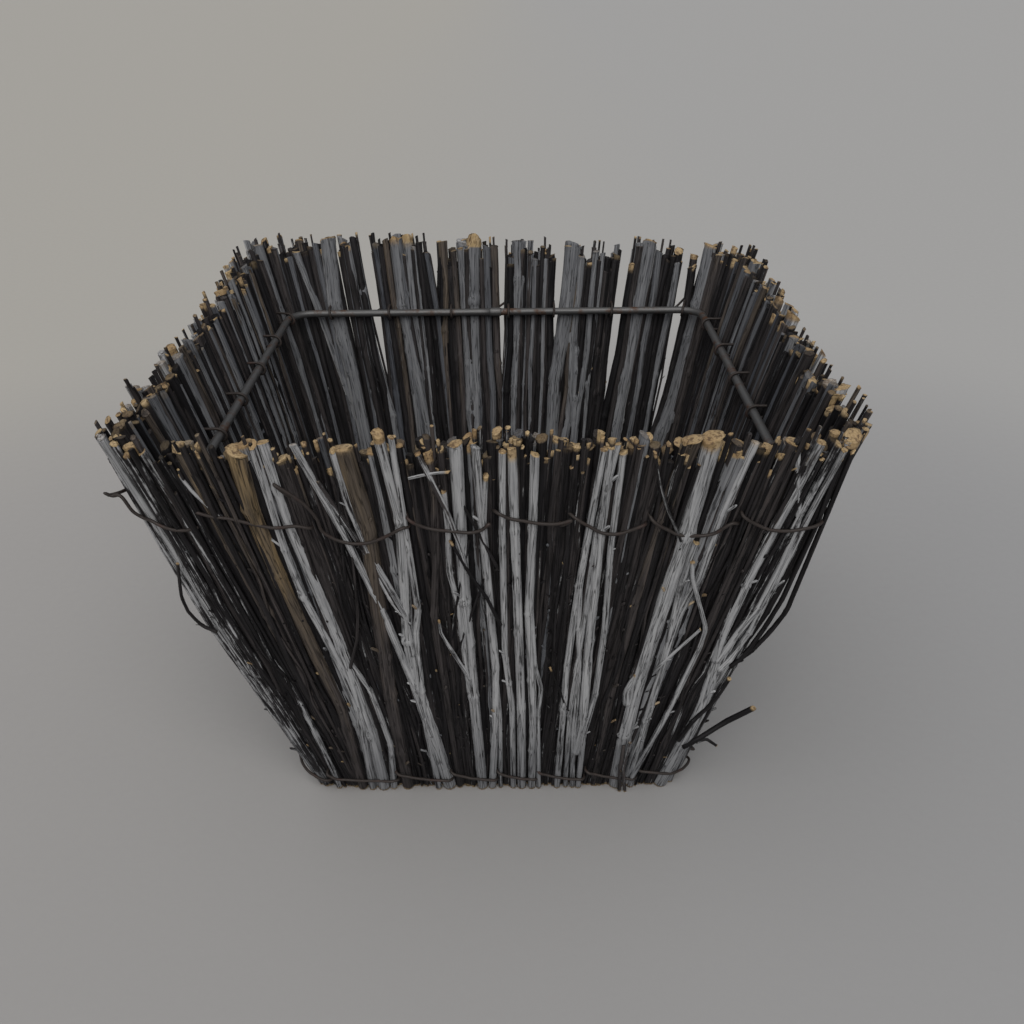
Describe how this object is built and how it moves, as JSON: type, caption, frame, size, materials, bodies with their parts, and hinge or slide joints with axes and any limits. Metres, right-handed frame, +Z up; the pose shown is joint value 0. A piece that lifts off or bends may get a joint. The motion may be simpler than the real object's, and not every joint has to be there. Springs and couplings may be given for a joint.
{
  "type": "square stick basket",
  "caption": "Square open basket that flares to its rim, made of upright bundles of thin sticks lashed with wire to two bent rods.",
  "frame": {"origin": "under the middle of the foot, on the surface that the basket stands on", "axes": "+Z up through the mouth, -Y the front, +X to the right seen from the front"},
  "size_m": [0.2055, 0.203, 0.152],
  "materials": {
    "pale_sticks": "whitewashed bark, matt, with bare tan cut ends",
    "dark_sticks": "near-black brown bark, matt, with bare tan cut ends",
    "floor_sticks": "whitewashed bark, matt",
    "frame_rod": "dark grey, dull, with some rust",
    "lashing_wire": "dark brown annealed wire, dull"
  },
  "bodies": {
    "root": {"front_left_corner_sticks": "pale_sticks", "front_pale_sticks_1": "pale_sticks", "front_pale_sticks_2": "pale_sticks", "front_pale_sticks_3": "pale_sticks", "front_pale_sticks_4": "pale_sticks", "front_pale_sticks_5": "pale_sticks", "front_pale_sticks_6": "pale_sticks", "front_dark_sticks_1": "dark_sticks", "front_dark_sticks_2": "dark_sticks", "front_dark_sticks_3": "dark_sticks", "front_dark_sticks_4": "dark_sticks", "front_dark_sticks_5": "dark_sticks", "front_dark_sticks_6": "dark_sticks", "front_dark_sticks_7": "dark_sticks", "front_right_corner_sticks": "pale_sticks", "right_pale_sticks_1": "pale_sticks", "right_pale_sticks_2": "pale_sticks", "right_pale_sticks_3": "pale_sticks", "right_pale_sticks_4": "pale_sticks", "right_pale_sticks_5": "pale_sticks", "right_dark_sticks_1": "dark_sticks", "right_dark_sticks_2": "dark_sticks", "right_dark_sticks_3": "dark_sticks", "right_dark_sticks_4": "dark_sticks", "right_dark_sticks_5": "dark_sticks", "right_dark_sticks_6": "dark_sticks", "back_right_corner_sticks": "pale_sticks", "back_pale_sticks_1": "pale_sticks", "back_pale_sticks_2": "pale_sticks", "back_pale_sticks_3": "pale_sticks", "back_pale_sticks_4": "pale_sticks", "back_pale_sticks_5": "pale_sticks", "back_pale_sticks_6": "pale_sticks", "back_dark_sticks_1": "dark_sticks", "back_dark_sticks_2": "dark_sticks", "back_dark_sticks_3": "dark_sticks", "back_dark_sticks_4": "dark_sticks", "back_dark_sticks_5": "dark_sticks", "back_dark_sticks_6": "dark_sticks", "back_dark_sticks_7": "dark_sticks", "back_left_corner_sticks": "pale_sticks", "left_pale_sticks_1": "pale_sticks", "left_pale_sticks_2": "pale_sticks", "left_pale_sticks_3": "pale_sticks", "left_pale_sticks_4": "pale_sticks", "left_pale_sticks_5": "pale_sticks", "left_dark_sticks_1": "dark_sticks", "left_dark_sticks_2": "dark_sticks", "left_dark_sticks_3": "dark_sticks", "left_dark_sticks_4": "dark_sticks", "left_dark_sticks_5": "dark_sticks", "left_dark_sticks_6": "dark_sticks", "upper_frame_rod": "frame_rod", "lower_frame_rod": "frame_rod", "upper_lashing_wire": "lashing_wire", "lower_lashing_wire": "lashing_wire", "floor_lashing_wire": "lashing_wire", "floor_sticks_left": "floor_sticks", "floor_sticks_middle": "floor_sticks", "floor_sticks_right": "floor_sticks"}
  },
  "joints": []
}
